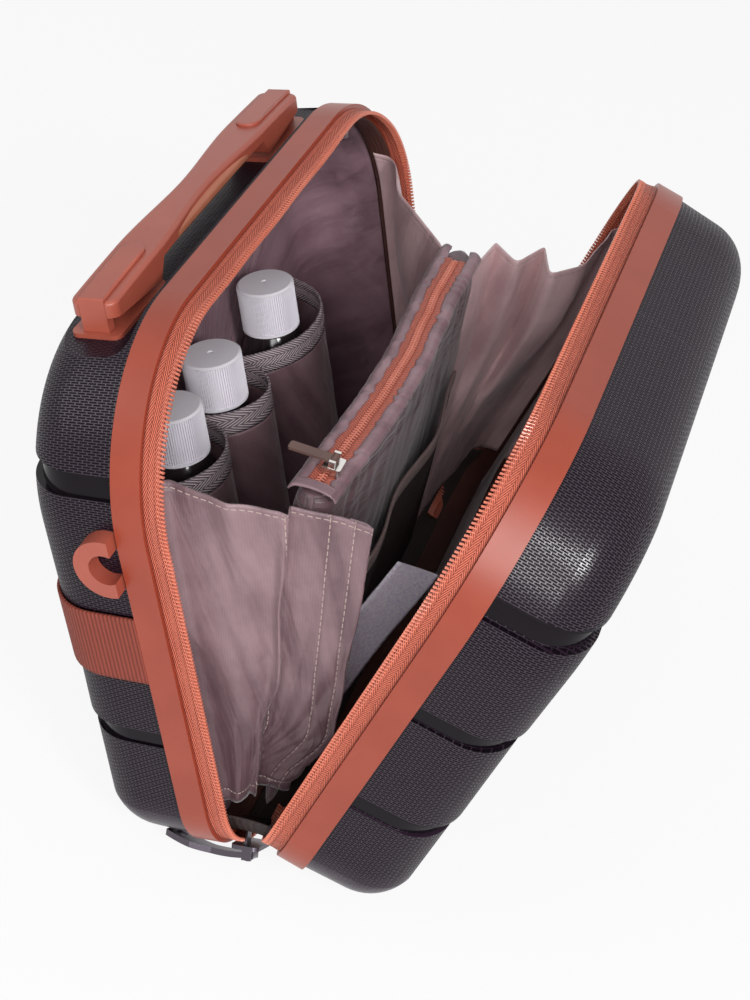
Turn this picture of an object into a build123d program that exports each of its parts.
"""Hard-shell beauty case, standing open in a V on the bottom edges of its two shells.

Everything is drawn in the closed case's own frame and then leaned open: x runs along the hinge,
y = 0 is the plane where the two zip chains meet, the back shell lies at positive y, and z = 0 is
the lowest line of the rims. The finished model stands on z = 0 with +Z up.
"""
import os
from math import atan2, cos, degrees, radians, sin, sqrt, tan

from build123d import *

# Case
case_width = 335.0
case_height = 270.0
shell_depth = 70.0
top_corner = 78.0
bottom_corner = 40.0
opening_angle = 30.7
shell_wall = 3.2
shell_inset = 1.2
shell_draft = 3.0
back_edge_radius = 26.0
lining_gap = 0.1
lining_thickness = 1.0
top_ledge_drop = 48.0
ledge_spacing = 67.5
ledge_count = 3
ledge_groove_tall = 10.0
ledge_groove_deep = 2.2
ledge_lean_in = 1.4
cut_over = 5.0
running_gap = 0.3
side_gap = 0.15
quarter_turn = 90.0
steepest_draft = 5.0
halvings = 60
shown_decimals = 4

# Rim band, facing strip and zip
band_width = 13.3
band_section = 6.0
band_skin = 1.1
band_lip_short = 3.3
band_floor = 1.8
tape_inset = 2.0
tape_thickness = 0.9
coil_inset = 1.6
coil_thickness = 2.6
coil_width = 2.5
coil_gap = 0.7
zip_half_width = 10.0
facing_inset = 6.15
facing_thickness = 0.85
facing_start = 8.0
facing_width = 12.0
hinge_strip_end_gap = 49.5
hinge_strip_thickness = 1.2
hinge_strip_inset = 2.0
zip_end_gap = 2.0
zip_end_height = 20.0

# Main zip slider and its puller
slider_length = 18.0
slider_width = 14.0
slider_plate = 2.0
slider_outer_inset = -1.0
slider_inner_inset = 9.5
slider_bridge_length = 5.0
slider_bridge_width = 1.2
slider_corner = 3.0
slider_angle = 56.0
lug_width = 6.0
lug_rise = 3.5
lug_across = 4.6
lug_bore = 1.3
lug_wall = 1.7
puller_pin = 1.25
puller_length = 42.0
puller_thickness = 3.0
puller_neck = 6.0
puller_neck_share = 0.45
puller_paddle = 11.0
puller_widen_share = 0.7
puller_window_share = 0.86
puller_bow = 4.0
puller_turn = 4.0
puller_window = 5.0

# Handle
well_depth = 12.6
well_end_gap = 41.5
well_front_reach = 20.0
well_corner = 9.0
base_length = 50.0
base_reach = 2.5
base_width = 23.4
base_back_gap = 23.5
base_thickness = 2.0
base_corner = 4.0
handle_travel = 12.0
handle_end_gap = 58.5
grip_width = 21.4
grip_rise = 16.2
grip_crown = 2.6
grip_end_height = 7.3
grip_base_gap = 1.6
grip_middle_height = 6.5
grip_shoulder_length = 44.0
grip_shoulder_slope = 6.0
grip_waist = 3.6
grip_edge_round = 2.0
grip_corner_round = 5.0
bracket_width = 12.0
bracket_leg = 5.0
bracket_cap_length = 47.0
bracket_cap_proud = 1.6
bracket_cap_sunk = 2.4
foot_length = 9.0
foot_width = 16.0
foot_thickness = 3.0
guide_length = 17.0
guide_width = 21.0
guide_roof = 2.0
guide_wall = 2.0
guide_spare = 1.2
underside_drop = 2.0
underside_inset = 1.0
underside_top_drop = 3.0
underside_round = 2.4
screw_radius = 1.6
screw_depth = 0.8
screw_hole_length = 9.6
screw_head_radius = 3.0
screw_head = 1.8
screw_spacing = 24.0

# Strap and side rings
strap_ledge_gap = 0.5
strap_width = 36.0
strap_thickness = 1.4
ring_middle_y = 27.5
ring_drop = 85.0
ring_outer = 14.5
ring_inner = 7.5
ring_proud = 9.0
ring_mouth = 3.4
ring_pin_radius = 3.0
ring_hole_length = 9.6

# Bottles and their pockets
bottle_radius = 19.5
bottle_gap = 0.3
bottle_back_gap = 2.2
bottle_floor = 46.0
bottle_body = 108.0
bottle_shoulder = 14.0
neck_radius = 12.5
neck_height = 23.0
cap_radius = 15.0
cap_height = 24.0
cap_wall = 1.6
cap_gap = 0.3
bottle_1_x = 52.0
bottle_2_x = -18.5
bottle_3_x = -66.0
far_seam_x = 100.0
second_seam_x = 9.0
third_seam_x = -40.0
near_seam_x = -102.0
pocket_fabric = 0.9
pocket_height = 116.0
pocket_band_height = 12.0
pocket_band_thickness = 1.2
pocket_depth = 46.1

# Divider pouch
divider_near_gap = 29.5
divider_far_gap = 92.5
divider_bottom = 22.0
divider_top_drop = 57.0
divider_low_half = 4.0
divider_high_half = 11.0
divider_round = 3.5
divider_tape_width = 7.5
divider_tape_thickness = 1.0
divider_coil_width = 5.0
divider_coil_height = 2.0
divider_zip_near_gap = 5.0
divider_zip_far_gap = 17.0
divider_slider_length = 9.0
divider_slider_width = 8.0
divider_slider_height = 4.2
divider_slider_start = 12.0
divider_slider_wall = 1.1
divider_slider_gap = 0.1
tab_width = 9.0
tab_thickness = 2.2
pull_length = 20.0
pull_width = 5.0
pull_thickness = 1.2
pull_ear = 1.4
pull_pin = 0.9
pull_bore = 1.0
pull_rise = 1.9
net_width = 196.0
net_height = 110.0
net_thickness = 0.8
net_bottom = 30.0
net_columns = 20
net_rows = 11
net_bar_share = 0.22
middle_share = 0.5
binding_height = 9.0
binding_thickness = 1.6

# Mirror side
board_depth = 20.3
board_thickness = 2.5
board_inset = 5.2
mirror_width = 190.0
mirror_height = 140.0
mirror_thickness = 2.0
mirror_rise = 15.0
mirror_corner = 12.0
foam_length = 170.0
foam_width = 34.0
foam_thickness = 1.2
foam_corner_inset = 94.5
foam_corner_y = -8.0
foam_corner_drop = 130.0
foam_down = (-0.486, 0.122, -0.865)
foam_across = (-0.67, 0.59, 0.446)

# Gussets
gusset_thickness = 0.8
gusset_drop = 64.0
gusset_low = 36.0
gusset_sewn = (18.0, 9.0)
gusset_turn = 3.0
gusset_turn_in = 6.0
fold_share = 0.3
near_high_y = (33.0, 12.0, 9.0, -5.0)
near_high_inset = (13.0, 21.0, 28.4, 28.4)
near_low_y = (10.0, 6.5, 4.0, -4.0)
near_low_inset = (12.0, 20.0, 28.4, 28.4)
near_free_y = (-26.0, -22.0, -14.0)
near_free_inset = (29.0, 35.0, 34.0)
far_high_y = (46.0, 14.0, 9.0, -5.0, -9.0, -25.0, -33.0, -41.0, -55.0)
far_high_inset = (49.0, 82.0, 91.4, 91.4, 66.0, 71.0, 57.0, 73.0, 62.0)
far_low_y = (10.5, 6.5, 4.0, -4.0, -5.0, -6.2, -7.4, -8.6, -10.2)
far_low_inset = (34.0, 70.0, 91.4, 91.4, 82.0, 72.0, 60.0, 49.0, 36.0)

# Lowest line of the rims, and the line that the front shell turns about
hinge_y = -zip_half_width
band_edge = zip_half_width + band_width
shell_start = zip_half_width + band_floor
lining_inset = shell_inset + shell_wall + lining_gap
half_width = case_width / 2
base_middle = shell_depth - base_back_gap
well_start = base_middle - well_front_reach
hinge_strip_length = case_width - 2 * hinge_strip_end_gap
ledge_heights = [case_height - top_ledge_drop - i * ledge_spacing for i in range(ledge_count)]
well_floor = case_height - well_depth
well_half_length = half_width - well_end_gap
grip_half_length = half_width - handle_end_gap
grip_top = well_floor + grip_rise
grip_shoulder_bottom = well_floor + base_thickness + grip_base_gap
grip_middle_bottom = grip_top - grip_middle_height + grip_crown
ring_middle_z = case_height - ring_drop
strap_low = ledge_heights[1] - strap_ledge_gap - strap_width
foam_corner = (foam_corner_inset - half_width, foam_corner_y, case_height - foam_corner_drop)
bottle_middles = (bottle_1_x, bottle_2_x, bottle_3_x)
pocket_seams = (far_seam_x, second_seam_x, third_seam_x, near_seam_x)
divider_near = divider_near_gap - half_width
divider_far = half_width - divider_far_gap
divider_top = case_height - divider_top_drop
divider_zip_near = divider_near + divider_zip_near_gap
divider_zip_far = divider_far - divider_zip_far_gap
divider_slider_middle = divider_zip_near + divider_slider_start
mirror_middle_z = case_height / 2 + mirror_rise
gusset_high = case_height - gusset_drop
back_inside = shell_depth - shell_wall - lining_gap - lining_thickness
pocket_front = back_inside - pocket_depth
ON_BASE = (Align.CENTER, Align.CENTER, Align.MIN)


def upright(y):
    """Drawing plane at depth y whose normal points to the back and whose upward direction is z."""
    return Plane(origin=(0, y, 0), x_dir=(-1, 0, 0), z_dir=(0, 1, 0))


def outline(inset):
    """The case's front view, drawn in by an inset."""
    shape = Rectangle(case_width - 2 * inset, case_height - 2 * inset)
    corners = shape.vertices().sort_by(Axis.Y)
    shape = fillet(corners[2:], top_corner - inset)
    corners = [v for v in shape.vertices() if v.Y < -case_height / 2 + inset + bottom_corner / 2]
    shape = fillet(corners, bottom_corner - inset)
    return Pos(0, case_height / 2, 0) * shape


def slab(inset, y_low, y_high, draft=0):
    """The front view made solid between two depths."""
    return extrude(upright(y_low) * outline(inset), amount=y_high - y_low, taper=draft)


def ring(inset, thickness, y_low, y_high):
    """A hoop that follows the front view."""
    return slab(inset, y_low, y_high) - slab(inset + thickness, y_low - cut_over, y_high + cut_over)


def block(x, y, z):
    """A box given by its low and high places along each axis."""
    size = (x[1] - x[0], y[1] - y[0], z[1] - z[0])
    middle = ((x[0] + x[1]) / 2, (y[0] + y[1]) / 2, (z[0] + z[1]) / 2)
    return Pos(*middle) * Box(*size)


def shell_form(inset, y_low, y_high, edge_radius):
    """A drafted tray form whose back edge is rounded all round, its inset taken where the shell starts."""
    start = inset + (y_low - shell_start) * tan(radians(shell_draft))
    form = slab(start, y_low, y_high, shell_draft)
    edges = form.faces().sort_by(Axis.Y)[-1].edges()
    return fillet(edges, edge_radius)


def well_block(grow, floor_drop):
    """The flat recess in the top of the back shell that takes the handle."""
    half = well_half_length + grow
    body = block((-half, half), (well_start - grow, shell_depth + cut_over),
                 (well_floor - floor_drop, case_height + cut_over))
    edges = body.edges().filter_by(Axis.Z).group_by(Axis.Y)[0]
    return fillet(edges, well_corner)


def ledge_grooves():
    """Recessed bands round the sides and back of a shell, each below a ledge."""
    outer = shell_form(shell_inset - cut_over, band_edge, shell_depth + cut_over, back_edge_radius)
    inner = shell_form(shell_inset + ledge_groove_deep, shell_start, shell_depth - ledge_groove_deep,
                       back_edge_radius)
    skin = outer - inner
    grooves = Part()
    for height in ledge_heights:
        zone = block((-case_width, case_width), (band_edge, shell_depth + 2 * cut_over),
                     (height - ledge_groove_tall, height))
        grooves += skin & zone
    return grooves


def leaning_section(high, low):
    """Prism with the case's plan that starts drawn in under a ledge and widens down to the next one."""
    front = shell_start - shell_depth
    wide = half_width - shell_inset - (front - shell_start) * tan(radians(shell_draft))
    narrow = half_width - shell_inset - (shell_depth - shell_start) * tan(radians(shell_draft))
    corners = [(-wide, -front), (wide, -front), (narrow, -shell_depth), (-narrow, -shell_depth)]
    face = make_face(Polyline(*corners, close=True))
    face = fillet(face.vertices().group_by(Axis.Y)[0], back_edge_radius)
    face = offset(face, -ledge_lean_in, kind=Kind.INTERSECTION)
    lean = degrees(atan2(ledge_lean_in, high - low))
    plane = Plane(origin=(0, 0, high), x_dir=(1, 0, 0), z_dir=(0, 0, -1))
    return extrude(plane * face, amount=high - low, taper=-lean)


def stepped_form():
    """Outer form of a shell whose lower sections each start a little further in than the ledge above."""
    outer = shell_form(shell_inset, shell_start, shell_depth, back_edge_radius)
    heights = [*ledge_heights, 0]
    reach = (band_edge - side_gap, shell_depth + cut_over)
    for high, low in zip(heights[:-1], heights[1:]):
        zone = block((-case_width, case_width), reach, (low, high))
        outer -= zone - leaning_section(high, low)
    return outer


def shell(with_well):
    """One moulded half: an outer form less its hollow, with the ledge grooves cut in."""
    outer = stepped_form()
    hollow = shell_form(shell_inset + shell_wall, shell_start - cut_over, shell_depth - shell_wall,
                        back_edge_radius - shell_wall)
    if with_well:
        outer -= well_block(0, 0)
        hollow -= well_block(shell_wall, shell_wall)
    return outer - hollow - ledge_grooves()


def band():
    """Channel that caps the rim of a shell, outer skin wider than the inner lip."""
    body = ring(0, band_section, zip_half_width, band_edge)
    lip_end = band_edge - band_lip_short
    body -= ring(band_skin, band_section, lip_end, band_edge + cut_over)
    widest = shell_inset + shell_wall + (band_edge - shell_start) * tan(radians(shell_draft))
    slot = widest - band_skin + side_gap
    return body - ring(band_skin, slot, shell_start, band_edge + cut_over)


def zip_gap_block():
    """The length of the bottom where the hinge strip takes the zip's place."""
    half = hinge_strip_length / 2 + zip_end_gap
    return block((-half, half), (-shell_depth, shell_depth), (-cut_over, zip_end_height))


def zip_tape():
    """Woven tape between the rim band and the chain."""
    tape = ring(tape_inset, tape_thickness, coil_gap + coil_width, zip_half_width)
    return tape - zip_gap_block()


def zip_coil():
    """Chain of the zip, as one bar along the tape's edge."""
    coil = ring(coil_inset, coil_thickness, coil_gap, coil_gap + coil_width)
    return coil - zip_gap_block()


def hinge_strip():
    """Flat tape that joins the two rims along the bottom."""
    half = hinge_strip_length / 2
    low = hinge_strip_inset
    return block((-half, half), (hinge_y + running_gap, zip_half_width), (low, low + hinge_strip_thickness))


def facing():
    """Stitched strip that covers the lining's edge inside the rim."""
    return ring(facing_inset, facing_thickness, facing_start, facing_start + facing_width)


def lining():
    """Thin bag that lines the back shell and drops below the handle's guides."""
    start = band_edge - band_lip_short + running_gap
    edge = back_edge_radius - shell_wall - lining_gap
    outer = shell_form(lining_inset, start, back_inside + lining_thickness, edge)
    inner = shell_form(lining_inset + lining_thickness, start, back_inside, edge - lining_thickness)
    inner = inner + shell_form(lining_inset + lining_thickness, start - cut_over, back_inside,
                               edge - lining_thickness)
    guide_low = guide_bottom() - lining_gap
    drop = well_floor - guide_low
    outer -= well_block(shell_wall, drop)
    inner -= well_block(shell_wall + lining_thickness, drop + lining_thickness)
    return outer - inner


def rounded_box(size, radius):
    """A box with its upright edges rounded."""
    body = Box(*size)
    return fillet(body.edges().filter_by(Axis.Z), radius)


def leg_outer():
    """How far out the outer face of a handle leg stands."""
    return grip_half_length


def foot_high():
    """Top of the leg's foot when the handle is down."""
    return well_floor - shell_wall - guide_roof - handle_travel - guide_spare


def guide_bottom():
    """Lowest face of the guide under the shell's top."""
    return foot_high() - foot_thickness - guide_wall


def handle_base(side):
    """Cover plate on the well's floor with a slot for the leg."""
    middle = grip_half_length + base_reach - base_length / 2
    plate = Pos(side * middle, base_middle, well_floor + base_thickness / 2) * rounded_box(
        (base_length, base_width, base_thickness), base_corner)
    plate = plate - leg_slot(side)
    for x in screw_places(side):
        plate -= Pos(x, base_middle, well_floor) * Cylinder(screw_radius - side_gap, 2 * screw_depth)
    return plate


def leg_slot(side):
    """Clearance hole for the handle's leg through plate, shell and guide."""
    middle = side * (leg_outer() - bracket_leg / 2)
    low = guide_bottom() + guide_wall
    high = grip_top
    return Pos(middle, base_middle, (low + high) / 2) * Box(
        bracket_leg + 2 * running_gap, bracket_width + 2 * running_gap, high - low)


def screw_places(side):
    """Where the two screws of a guide stand along the case."""
    middle = leg_outer() - bracket_leg / 2 - guide_length / 2 - screw_head_radius - running_gap
    return [side * middle, side * (middle - screw_spacing)]


def handle_guide(side):
    """Box under the shell's top that holds the leg's foot."""
    low = guide_bottom()
    high = well_floor - shell_wall
    middle = side * (leg_outer() - bracket_leg / 2)
    body = Pos(middle, base_middle, (low + high) / 2) * Box(guide_length, guide_width, high - low)
    room_high = high - guide_roof
    room_low = low + guide_wall
    room = Pos(middle, base_middle, (room_high + room_low) / 2) * Box(
        foot_length + 2 * running_gap, foot_width + 2 * running_gap, room_high - room_low)
    limit = shell_form(shell_inset + shell_wall + side_gap, shell_start, back_inside,
                       back_edge_radius - shell_wall)
    return (body - room - leg_slot(side)) & limit


def handle_screws():
    """Screws from inside the shell into the two base plates."""
    group = []
    high = well_floor - shell_wall
    for side in (-1, 1):
        for x in screw_places(side):
            head = Pos(x, base_middle, high - screw_head / 2) * Cylinder(screw_head_radius, screw_head)
            shank_top = well_floor + screw_depth
            shank = Pos(x, base_middle, (high + shank_top) / 2) * Cylinder(
                screw_radius - 2 * side_gap, shank_top - high)
            group.append(head + shank)
    return group


def face_along_case(y):
    """Drawing plane at depth y seen from the zip side, x to the right and z up."""
    return Plane(origin=(0, y, 0), x_dir=(1, 0, 0), z_dir=(0, -1, 0))


def crown_line(rise):
    """Arc of the grip's crowned top, moved up by a rise, from the near end to the far end."""
    half = grip_half_length
    z = grip_top + rise
    return ThreePointArc((-half, z), (0, z + grip_crown), (half, z))


def crowned_plate(low_rise, high_rise, width):
    """A plate of even width between two lines that follow the grip's crowned top."""
    low = crown_line(low_rise)
    high = crown_line(high_rise)
    face = make_face(Wire([low, Line(low @ 1, high @ 1), high, Line(high @ 0, low @ 0)]))
    return extrude(face_along_case(base_middle + width / 2) * face, amount=width)


def cap_plan(side, width):
    """Upright prism with a cap's plan, straight from the grip's end to a round tip."""
    outer = leg_outer()
    flat = bracket_cap_length - bracket_width / 2
    low = well_floor
    high = grip_top + grip_crown + cut_over
    body = block(sorted((side * (outer - flat), side * outer)),
                 (base_middle - width / 2, base_middle + width / 2), (low, high))
    tip = Pos(side * (outer - flat), base_middle, low) * Cylinder(
        width / 2, high - low, align=(Align.CENTER, Align.CENTER, Align.MIN))
    return body + tip


def handle_bracket(side):
    """Leg, foot and crowned cap that hold one end of the grip."""
    foot_top = foot_high()
    low = foot_top - foot_thickness
    leg_middle = leg_outer() - bracket_leg / 2
    leg = Pos(side * leg_middle, base_middle, (low + grip_top) / 2) * Box(
        bracket_leg, bracket_width, grip_top - low)
    foot = Pos(side * leg_middle, base_middle, (low + foot_top) / 2) * Box(
        foot_length, foot_width, foot_thickness)
    cap = crowned_plate(-bracket_cap_sunk, bracket_cap_proud, bracket_width) & cap_plan(side, bracket_width)
    rim = cap.faces().sort_by(Axis.Z)[-1].edges()
    return leg + foot + fillet(rim, bracket_cap_proud / 2)


def bracket_pocket(side):
    """Room for the bracket in the grip's end and top."""
    width = bracket_width + 2 * side_gap
    outer = leg_outer()
    leg = block(sorted((side * (outer - bracket_leg - side_gap), side * (outer + cut_over))),
                (base_middle - width / 2, base_middle + width / 2), (well_floor, grip_top + cut_over))
    cap = crowned_plate(-bracket_cap_sunk, cut_over, width) & cap_plan(side, width)
    return leg + cap


def grip_profile():
    """Side view of the grip: crowned on top, deep at its two shoulders and thin over the fingers."""
    half = grip_half_length
    end = grip_top - grip_end_height
    low = grip_shoulder_bottom
    mid = grip_middle_bottom
    knee = half - grip_shoulder_length
    top = crown_line(0)
    below = Polyline((half, grip_top), (half, end), (knee, low), (knee - grip_shoulder_slope, mid),
                     (grip_shoulder_slope - knee, mid), (-knee, low), (-half, end), (-half, grip_top))
    return make_face(Wire([top, *below.edges()]))


def waist_line(side):
    """One long side of the grip seen from above, drawn in smoothly over the fingers."""
    knee = grip_half_length - grip_shoulder_length
    edge = side * grip_width / 2
    return Spline((-knee, edge), (0, edge - side * grip_waist), (knee, edge), tangents=[(1, 0), (1, 0)])


def grip_plan():
    """Outline of the grip seen from above, with rounded corners."""
    half = grip_half_length
    near = waist_line(-1)
    far = waist_line(1)
    reach = grip_width / 2
    left = Polyline(far @ 0, (-half, reach), (-half, -reach), near @ 0)
    right = Polyline(near @ 1, (half, -reach), (half, reach), far @ 1)
    face = make_face(Wire([near, far, *left.edges(), *right.edges()]))
    corners = [v for v in face.vertices() if abs(v.X) > half - grip_edge_round]
    return fillet(corners, grip_corner_round)


def grip_form():
    """The grip before its rim is rounded and its pockets cut."""
    body = extrude(face_along_case(base_middle + grip_width / 2) * grip_profile(), amount=grip_width)
    plan = Plane.XY.offset(well_floor) * (Pos(0, base_middle) * grip_plan())
    return body & extrude(plan, amount=grip_rise + 2 * grip_crown)


def handle_grip():
    """Moulded grip with room for the two brackets."""
    body = grip_form()
    body = fillet(body.faces().sort_by(Axis.Z)[-1].edges(), grip_edge_round)
    for side in (-1, 1):
        body -= bracket_pocket(side)
    return body


def handle_underside():
    """Soft pad that fills the space under the slim middle of the grip."""
    half = grip_half_length - grip_shoulder_length - grip_shoulder_slope - underside_inset
    reach = grip_width / 2 - underside_inset
    low = grip_middle_bottom - underside_drop
    high = grip_top + grip_crown - underside_top_drop
    pad = block((-half, half), (base_middle - reach, base_middle + reach), (low, high))
    pad = fillet(pad.edges().filter_by(Axis.X), underside_round)
    return pad - grip_form()


def strap():
    """Elastic strap across the back that slides over a suitcase's pull handle."""
    clear = running_gap
    outside = clear + strap_thickness
    outer = shell_form(shell_inset - outside, shell_start, shell_depth + outside, back_edge_radius + outside)
    inner = shell_form(shell_inset - clear, shell_start, shell_depth + clear, back_edge_radius + clear)
    zone = block((-case_width, case_width), (band_edge, shell_depth + cut_over),
                 (strap_low, strap_low + strap_width))
    return (outer - inner) & zone


def side_surface(y):
    """Distance from the middle to the shell's side at a depth."""
    return half_width - shell_inset - (y - shell_start) * tan(radians(shell_draft))


def side_ring(side):
    """Open claw ring on the shell's end, with its pin through the wall."""
    face = side_surface(ring_middle_y + ring_outer)
    inner_face = side_surface(ring_middle_y) - shell_wall
    plane = Plane(origin=(side * face, ring_middle_y, ring_middle_z), x_dir=(0, 1, 0), z_dir=(side, 0, 0))
    claw = Circle(ring_outer) - Circle(ring_inner)
    claw -= Pos(-ring_mouth, 0) * Rectangle(ring_outer, 2 * ring_outer, align=(Align.MAX, Align.CENTER))
    body = extrude(plane * claw, amount=ring_proud)
    body = body - shell_form(shell_inset - side_gap, shell_start, shell_depth, back_edge_radius)
    pin_middle = (ring_outer + ring_inner) / 2
    pin_plane = Plane(origin=(side * inner_face, ring_middle_y + pin_middle, ring_middle_z), x_dir=(0, 1, 0),
                      z_dir=(side, 0, 0))
    pin = extrude(pin_plane * Circle(ring_pin_radius), amount=face - inner_face + ring_proud / 2)
    return body + pin


def ring_hole(side):
    """Hole in the shell for a ring's pin."""
    pin_middle = (ring_outer + ring_inner) / 2
    reach = side_surface(ring_middle_y) - 2 * shell_wall
    plane = Plane(origin=(side * reach, ring_middle_y + pin_middle, ring_middle_z), x_dir=(0, 1, 0),
                  z_dir=(side, 0, 0))
    return extrude(plane * Circle(ring_pin_radius + side_gap), amount=ring_hole_length)


def pocket_path(offset):
    """Front view from above of the row of bottle pockets, each a U from seam to seam."""
    lines = []
    wall = back_inside - running_gap
    for high, low in zip(pocket_seams[:-1], pocket_seams[1:]):
        radius = (high - low) / 2 - offset
        middle = (high + low) / 2
        straight = max(wall - pocket_front - offset - radius, running_gap)
        front = wall - straight
        lines.append([
            Line((middle + radius, wall), (middle + radius, front)),
            ThreePointArc((middle + radius, front), (middle, front - radius), (middle - radius, front)),
            Line((middle - radius, front), (middle - radius, wall)),
        ])
    return lines


def pocket_solid(offset, z_low, z_high):
    """The filled plan of each pocket between two heights."""
    solids = []
    for lines in pocket_path(offset):
        first = lines[0] @ 0
        last = lines[-1] @ 1
        face = make_face(Wire([*lines, Line(last, first)]))
        solids.append(extrude(Plane.XY.offset(z_low) * face, amount=z_high - z_low))
    return solids


def bottle_pockets():
    """Sewn fabric pockets, open at the top, with a fabric floor."""
    high = bottle_floor + pocket_height
    outer = pocket_solid(side_gap, bottle_floor, high)
    inner = pocket_solid(side_gap + pocket_fabric, bottle_floor + pocket_fabric, high + cut_over)
    return [a - b for a, b in zip(outer, inner)]


def pocket_bands():
    """Elastic bands along the pockets' mouths."""
    low = bottle_floor + pocket_height
    high = low + pocket_band_height
    outer = pocket_solid(side_gap, low, high)
    inner = pocket_solid(side_gap + pocket_band_thickness, low - cut_over, high + cut_over)
    return [a - b for a, b in zip(outer, inner)]


def bottle_place(x):
    """Axis of a bottle in its pocket."""
    y = back_inside - bottle_back_gap - bottle_radius
    return Pos(x, y, bottle_floor + pocket_fabric + bottle_gap)


def bottle(x):
    """Round bottle with a shoulder and a plain neck."""
    shoulder_top = bottle_body + bottle_shoulder
    top = shoulder_top + neck_height
    profile = Polyline((0, 0), (bottle_radius, 0), (bottle_radius, bottle_body), (neck_radius, shoulder_top),
                       (neck_radius, top), (0, top), close=True)
    body = revolve(Plane.XZ * make_face(profile), axis=Axis.Z)
    edges = [e for e in body.edges().filter_by(GeomType.CIRCLE) if e.center().Z < bottle_body + bottle_gap]
    return bottle_place(x) * fillet(edges, cap_wall)


def bottle_cap(x):
    """Cup-shaped cap over the neck, resting on the neck's top."""
    top = bottle_body + bottle_shoulder + neck_height
    outside = Pos(0, 0, top + cap_wall - cap_height / 2) * Cylinder(cap_radius, cap_height)
    outside = fillet(outside.faces().sort_by(Axis.Z)[-1].edges(), cap_wall)
    inside = Pos(0, 0, top - cap_height / 2) * Cylinder(neck_radius + cap_gap, cap_height)
    return bottle_place(x) * (outside - inside)


def divider_pouch():
    """Padded pouch that hangs between the gussets, thin at the bottom and full at the zip."""
    low, high = divider_bottom, divider_top
    face = make_face(Polyline((-divider_low_half, low), (divider_low_half, low), (divider_high_half, high),
                              (-divider_high_half, high), close=True))
    plane = Plane(origin=(divider_near, 0, 0), x_dir=(0, 1, 0), z_dir=(1, 0, 0))
    body = extrude(plane * face, amount=divider_far - divider_near)
    upright_edges = body.edges().filter_by(Axis.Z, tolerance=steepest_draft)
    return fillet(upright_edges + body.edges().filter_by(Axis.X), divider_round)


def divider_tape():
    """Two tapes of the pouch's zip on its top."""
    group = []
    high = divider_top + divider_tape_thickness
    for side in (-1, 1):
        y = sorted((side * divider_coil_width / 2, side * (divider_coil_width / 2 + divider_tape_width)))
        group.append(block((divider_zip_near, divider_zip_far), y, (divider_top, high)))
    return group


def divider_coil():
    """Closed chain of the pouch's zip."""
    return block((divider_zip_near, divider_zip_far), (-divider_coil_width / 2, divider_coil_width / 2),
                 (divider_top, divider_top + divider_coil_height))


def divider_slider():
    """Slider that straddles the chain, with an ear for its pull."""
    low = divider_top + divider_tape_thickness + divider_slider_gap
    half = divider_slider_length / 2
    body = block((divider_slider_middle - half, divider_slider_middle + half),
                 (-divider_slider_width / 2, divider_slider_width / 2), (low, low + divider_slider_height))
    body = fillet(body.edges().filter_by(Axis.Z), divider_slider_wall)
    channel = divider_coil_width / 2 + divider_slider_gap
    top = divider_top + divider_coil_height + divider_slider_gap
    body -= block((divider_slider_middle - 2 * half, divider_slider_middle + 2 * half),
                  (-channel, channel), (divider_top, top))
    ear_low = low + divider_slider_height
    ear_high = ear_low + pull_rise + pull_ear
    for side in (-1, 1):
        x = divider_slider_middle + side * (pull_width / 2 + running_gap + pull_ear / 2)
        body += block((x - pull_ear / 2, x + pull_ear / 2), (-pull_ear, pull_ear), (ear_low, ear_high))
    pin_length = pull_width + 2 * running_gap + 2 * pull_ear
    pin_place = Pos(divider_slider_middle, 0, ear_low + pull_rise) * Rot(0, quarter_turn, 0)
    return body + pin_place * Cylinder(pull_pin, pin_length)


def divider_pull_axis_z():
    """Height of the pull's pin above the closed case's bottom line."""
    return divider_top + divider_tape_thickness + divider_slider_gap + divider_slider_height + pull_rise


def divider_pull():
    """Flat pull tab that lies over to the back of the case."""
    z = divider_pull_axis_z()
    place = Pos(divider_slider_middle, 0, z) * Rot(0, quarter_turn, 0)
    eye = place * Cylinder(pull_bore + pull_thickness / 2, pull_width)
    tab = block((divider_slider_middle - pull_width / 2, divider_slider_middle + pull_width / 2),
                (0, pull_length), (z - pull_thickness / 2, z + pull_thickness / 2))
    corners = tab.edges().filter_by(Axis.Z).group_by(Axis.Y)[-1]
    tab = fillet(corners, pull_thickness)
    hole = place * Cylinder(pull_bore, 2 * pull_width)
    return eye + tab - hole


def divider_tab():
    """Folded fabric tab over the near end of the pouch's zip."""
    low = divider_top
    high = divider_top + divider_coil_height + running_gap + tab_thickness
    body = block((divider_near, divider_zip_near - running_gap), (-tab_width, tab_width), (low, high))
    return fillet(body.edges().filter_by(Axis.X).group_by(Axis.Z)[-1], tab_thickness)


def net_plane(gap):
    """Plane of the net pocket on the front side of the pouch, leaning with its wall."""
    slope = (divider_high_half - divider_low_half) / (divider_top - divider_bottom)
    low_y = -divider_low_half - slope * (net_bottom - divider_bottom) - gap
    middle = (divider_near + divider_far) / 2
    return Plane(origin=(middle, low_y, net_bottom), x_dir=(1, 0, 0), z_dir=(0, -1, -slope))


def net_pocket():
    """Flat net with a grid of gaps, as one holed face."""
    face = Pos(0, net_height / 2) * Rectangle(net_width, net_height)
    cell_x = net_width / net_columns
    cell_y = net_height / net_rows
    hole = Rectangle(cell_x * (1 - net_bar_share), cell_y * (1 - net_bar_share))
    places = [Pos(cell_x * (i + middle_share) - net_width / 2, cell_y * (j + middle_share))
              for i in range(net_columns) for j in range(net_rows)]
    wire_holes = [(p * hole).face().outer_wire() for p in places]
    base = face.face()
    holed = Face(base.outer_wire(), wire_holes)
    return extrude(net_plane(running_gap) * holed, amount=net_thickness)


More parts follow.
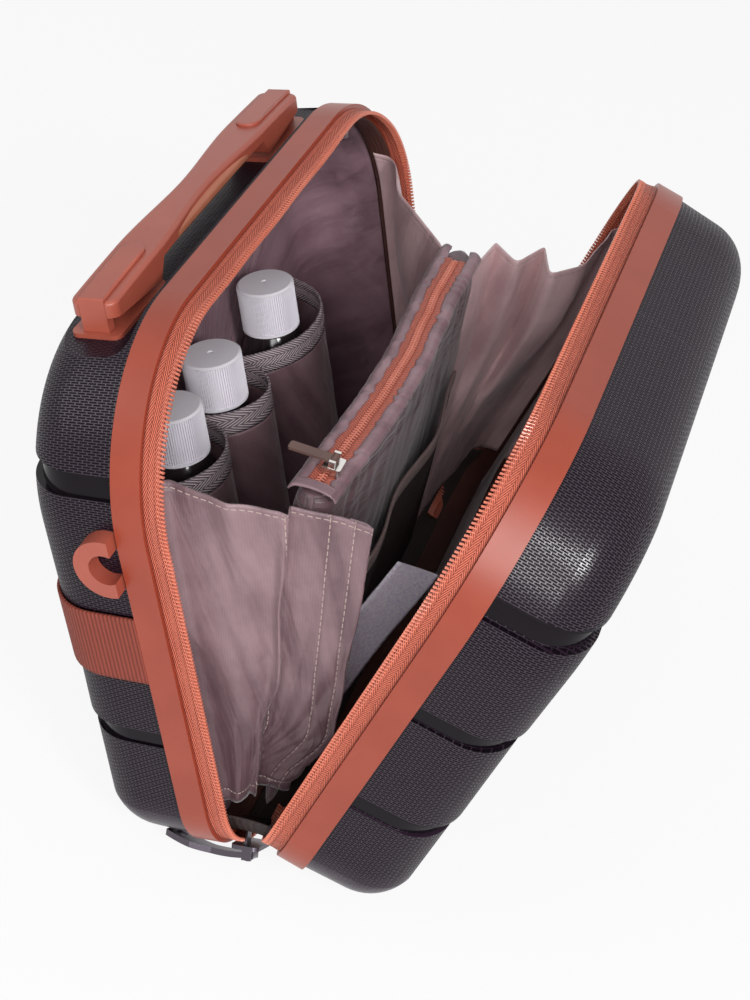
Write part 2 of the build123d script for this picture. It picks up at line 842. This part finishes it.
def net_binding():
    """Elastic edging along the net's mouth, standing a little off the pouch."""
    plane = net_plane(running_gap)
    face = Pos(0, net_height + binding_height / 2) * Rectangle(net_width, binding_height)
    return extrude(plane * face, amount=binding_thickness)


def mirror_board():
    """Covered board that closes the front shell's inner side."""
    return slab(board_inset, board_depth, board_depth + board_thickness)


def mirror():
    """Acrylic mirror stuck to the board."""
    face = fillet(Rectangle(mirror_width, mirror_height).vertices(), mirror_corner)
    face = Pos(0, mirror_middle_z) * face
    return extrude(upright(board_depth - mirror_thickness) * face, amount=mirror_thickness)


def foam_sheet():
    """Loose strip of packing foam that stands askew in the near end of the front shell."""
    down = Vector(*foam_down).normalized()
    across = Vector(*foam_across)
    across = (across - down * across.dot(down)).normalized()
    plane = Plane(origin=foam_corner, x_dir=down, z_dir=down.cross(across))
    face = Rectangle(foam_length, foam_width, align=(Align.MIN, Align.MIN))
    sheet = extrude(plane * face, amount=foam_thickness)
    inset = facing_inset + facing_thickness + side_gap
    room = slab(inset, -case_width, board_depth - mirror_thickness - running_gap)
    return sheet & room


def corner_frame():
    """Local frame of the zip slider on the near bottom corner: x along the rim, y across, z outwards."""
    a = radians(slider_angle)
    middle = Vector(-half_width + bottom_corner, 0, bottom_corner)
    outward = Vector(-cos(a), 0, -sin(a))
    origin = middle + outward * bottom_corner
    along = Vector(-sin(a), 0, cos(a))
    return Plane(origin=origin, x_dir=along, z_dir=outward)


def zip_slider():
    """Two plates inside and outside the zip, a bridge between the chains and a lug for the puller."""
    outer_z = -slider_outer_inset
    outer = Pos(0, 0, outer_z - slider_plate / 2) * rounded_box((slider_length, slider_width, slider_plate),
                                                                 slider_corner)
    inner = Pos(0, 0, -slider_inner_inset - slider_plate / 2) * rounded_box(
        (slider_length, slider_width, slider_plate), slider_corner)
    low = -slider_inner_inset - slider_plate / 2
    high = outer_z - slider_plate / 2
    bridge = Pos(slider_length / 2 - slider_bridge_length, 0, (low + high) / 2) * Box(
        slider_bridge_length, slider_bridge_width, high - low)
    body = outer + inner + bridge
    for side in (-1, 1):
        x = side * (lug_width / 2 + lug_wall / 2 + running_gap)
        ear = Pos(x, 0, outer_z) * Box(lug_wall, lug_across, lug_rise + lug_across / 2, align=ON_BASE)
        body += ear
    pin = Pos(0, 0, outer_z + lug_rise) * Rot(0, quarter_turn, 0) * Cylinder(
        puller_pin, lug_width + 2 * running_gap + 2 * lug_wall)
    return corner_frame() * (body + pin)


def puller_pin_height():
    """Distance of the puller's pin from the rim's outer line."""
    return -slider_outer_inset + lug_rise


def zip_puller():
    """Tusk-shaped puller: an eye on the pin, a bowed neck and a paddle with a window."""
    hole = Rot(0, quarter_turn, 0) * Cylinder(lug_bore, 2 * lug_width)
    eye = Rot(0, quarter_turn, 0) * Cylinder(lug_bore + lug_wall, lug_width)
    half = puller_thickness / 2
    bow = puller_bow / 2
    outer = ThreePointArc((0, half), (puller_length / 2, half + bow), (puller_length, half - bow))
    inner = ThreePointArc((puller_length, -half - bow), (puller_length / 2, bow - half), (0, -half))
    face = make_face(Wire([outer, Line(outer @ 1, inner @ 0), inner, Line(inner @ 1, outer @ 0)]))
    side_plane = Plane(origin=(-puller_paddle / 2, 0, 0), x_dir=(0, 1, 0), z_dir=(1, 0, 0))
    arm = extrude(side_plane * face, amount=puller_paddle)
    neck = puller_length * puller_neck_share
    wide = puller_length * puller_widen_share
    plan = [(0, puller_neck / 2), (neck, puller_neck / 2), (wide, puller_paddle / 2)]
    plan.append((puller_length, puller_paddle / 2))
    points = [(b, a) for a, b in plan] + [(-b, a) for a, b in reversed(plan)]
    paddle_face = make_face(Polyline(*points, close=True))
    keep = extrude(Plane.XY.offset(-puller_length) * paddle_face, amount=2 * puller_length)
    window_y = puller_length * puller_window_share
    window = Pos(0, window_y, 0) * Box(puller_window, puller_window, puller_length)
    arm = (arm & keep) - window
    place = corner_frame() * Pos(0, 0, puller_pin_height()) * Rot(-puller_turn, 0, 0)
    return place * (arm + eye - hole)


def rim_side(z):
    """Half width of the facing's inner side at a height."""
    inset = facing_inset + facing_thickness
    if z > case_height - top_corner:
        rise = z - case_height + top_corner
        return half_width - top_corner + sqrt((top_corner - inset) ** 2 - rise ** 2)
    if z < bottom_corner:
        drop = bottom_corner - z
        return half_width - bottom_corner + sqrt((bottom_corner - inset) ** 2 - drop ** 2)
    return half_width - inset


def rim_place(y, level):
    """Place on the facing, for the half-open frame: half width and depth where a level plane cuts it."""
    a = radians(opening_angle / 2)
    z = (level + (y - hinge_y) * sin(a)) / cos(a)
    depth = hinge_y + (y - hinge_y) * cos(a) + z * sin(a)
    return rim_side(z), depth


def seam_points(level):
    """Half widths and depths where a gusset is sewn along the back facing, and where it turns in."""
    points = []
    for y in gusset_sewn:
        side, depth = rim_place(y, level)
        points.append((side - running_gap, depth))
    side, depth = rim_place(gusset_turn, level)
    points.append((side - gusset_turn_in, depth))
    return points


def fold_points(depths, insets):
    """Half widths and depths of a gusset's folds."""
    return [(half_width - inset, y) for y, inset in zip(depths, insets)]


def inner_line(path):
    """The path moved inwards by the cloth's thickness, its corners kept sharp."""
    directions = [(Vector(*b) - Vector(*a)).normalized() for a, b in zip(path[:-1], path[1:])]
    normals = [Vector(d.Y, -d.X) for d in directions]
    line = []
    for i, point in enumerate(path):
        before = normals[max(i - 1, 0)]
        after = normals[min(i, len(normals) - 1)]
        middle = (before + after).normalized()
        line.append(Vector(*point) + middle * (gusset_thickness / max(middle.dot(after), fold_share)))
    return [(v.X, v.Y) for v in line]


def gusset_section(end, level, folds, free):
    """Thick folded line through a gusset at a level, as a flat face."""
    seam = seam_points(level)
    path = seam + folds + (free or [(x, -y) for x, y in reversed(seam)])
    around = path + inner_line(path)[::-1]
    return Plane.XY.offset(level) * make_face(Polyline(*[(end * x, y) for x, y in around], close=True))


def near_gusset():
    """Pleated side sheet whose front panel hangs free at the top and is sewn in at the bottom."""
    free = fold_points(near_free_y, near_free_inset)
    high = gusset_section(-1, gusset_high, fold_points(near_high_y, near_high_inset), free)
    low = gusset_section(-1, gusset_low, fold_points(near_low_y, near_low_inset), None)
    return loft([low, high], ruled=True)


def far_gusset():
    """Side sheet with one more pleat, sewn to both rims all the way up."""
    high = gusset_section(1, gusset_high, fold_points(far_high_y, far_high_inset), None)
    low = gusset_section(1, gusset_low, fold_points(far_low_y, far_low_inset), None)
    return loft([low, high], ruled=True)


def level_lean():
    """Angle that the back shell leans so that both shells stand on the same floor."""
    draft = radians(shell_draft)
    radius = back_edge_radius
    arc_y = shell_depth - radius
    arc_z = shell_inset + (arc_y - shell_start) * tan(draft) + radius / cos(draft)

    def low(lean, reach):
        """Height of a shell's lowest line over the hinge at a lean."""
        return arc_z * cos(lean) - reach * sin(lean) - radius

    total = radians(opening_angle)
    left, right = 0.0, total
    for _ in range(halvings):
        lean = (left + right) / 2
        if low(lean, arc_y - hinge_y) > low(total - lean, arc_y + hinge_y):
            left = lean
        else:
            right = lean
    return degrees(lean), low(lean, arc_y - hinge_y)


def build():
    """All pieces in the open pose, keyed by name."""
    lean, lowest = level_lean()
    axis = Pos(0, 0, -lowest) * Rot(-lean, 0, 0) * Pos(0, -hinge_y, 0)
    front_axis = Pos(0, 0, -lowest) * Rot(opening_angle - lean, 0, 0) * Pos(0, -hinge_y, 0)
    middle_axis = Pos(0, 0, -lowest) * Rot(opening_angle / 2 - lean, 0, 0) * Pos(0, -hinge_y, 0)

    back = {}
    back_shell = shell(True)
    for side, name in ((-1, "near"), (1, "far")):
        back_shell = back_shell - leg_slot(side) - ring_hole(side)
        for x in screw_places(side):
            back_shell -= Pos(x, base_middle, well_floor) * Cylinder(screw_radius, screw_hole_length)
        back["handle_base_" + name] = handle_base(side)
        back["handle_guide_" + name] = handle_guide(side)
        back["handle_bracket_" + name] = handle_bracket(side)
        back["side_ring_" + name] = side_ring(side)
    back["back_shell"] = back_shell
    back["back_band"] = band()
    back["back_zip_tape"] = zip_tape()
    back["back_zip_coil"] = zip_coil()
    back["hinge_strip"] = hinge_strip()
    back["back_facing"] = facing()
    back["back_lining"] = lining()
    back["handle_screws"] = handle_screws()
    back["handle_grip"] = handle_grip()
    back["handle_underside"] = handle_underside()
    back["trolley_strap"] = strap()
    back["bottle_pockets"] = bottle_pockets()
    back["pocket_bands"] = pocket_bands()
    for number, x in enumerate(bottle_middles, 1):
        back["bottle_%d" % number] = bottle(x)
        back["bottle_cap_%d" % number] = bottle_cap(x)
    back["zip_slider"] = zip_slider()
    back["zip_puller"] = zip_puller()

    front = {
        "front_shell": shell(False),
        "front_band": band(),
        "front_zip_tape": zip_tape(),
        "front_zip_coil": zip_coil(),
        "front_facing": facing(),
        "mirror_board": mirror_board(),
        "mirror": mirror(),
        "foam_sheet": foam_sheet(),
    }

    middle = {
        "divider_pouch": divider_pouch(),
        "divider_tape": divider_tape(),
        "divider_coil": divider_coil(),
        "divider_slider": divider_slider(),
        "divider_pull": divider_pull(),
        "divider_tab": divider_tab(),
        "net_pocket": net_pocket(),
        "net_binding": net_binding(),
        "near_gusset": near_gusset(),
        "far_gusset": far_gusset(),
    }

    pieces = {}
    for name, shape in back.items():
        pieces[name] = placed(axis, shape)
    for name, shape in front.items():
        pieces[name] = placed(front_axis, mirror_over(shape))
    for name, shape in middle.items():
        pieces[name] = placed(middle_axis, shape)
    return pieces, lean, -lowest


def mirror_over(shape):
    """A back piece turned into its front twin."""
    group = shape if isinstance(shape, list) else [shape]
    return [solid.mirror(Plane.XZ) for part in group for solid in part.solids()]


def placed(place, shape):
    """A piece's solids moved to a place, as one compound."""
    group = shape if isinstance(shape, list) else [shape]
    solids = [place * solid for part in group for solid in part.solids()]
    return Compound(solids) if len(solids) > 1 else solids[0]


def main():
    """Build, centre on the floor and write one file for each piece."""
    pieces, lean, hinge_z = build()
    boxes = [shape.bounding_box() for shape in pieces.values()]
    low = [min(tuple(box.min)[k] for box in boxes) for k in range(3)]
    high = [max(tuple(box.max)[k] for box in boxes) for k in range(3)]
    offset = Vector(-(low[0] + high[0]) / 2, -(low[1] + high[1]) / 2, -low[2])
    os.makedirs("parts", exist_ok=True)
    for name, shape in pieces.items():
        export_step(Pos(offset) * shape, "parts/%s.step" % name)
    print("lean of the back shell", round(lean, shown_decimals))
    print("hinge line", round(offset.Y, shown_decimals), round(hinge_z + offset.Z, shown_decimals))
    print("size", [round(b - a, shown_decimals) for a, b in zip(low, high)])


if __name__ == "__main__":
    main()
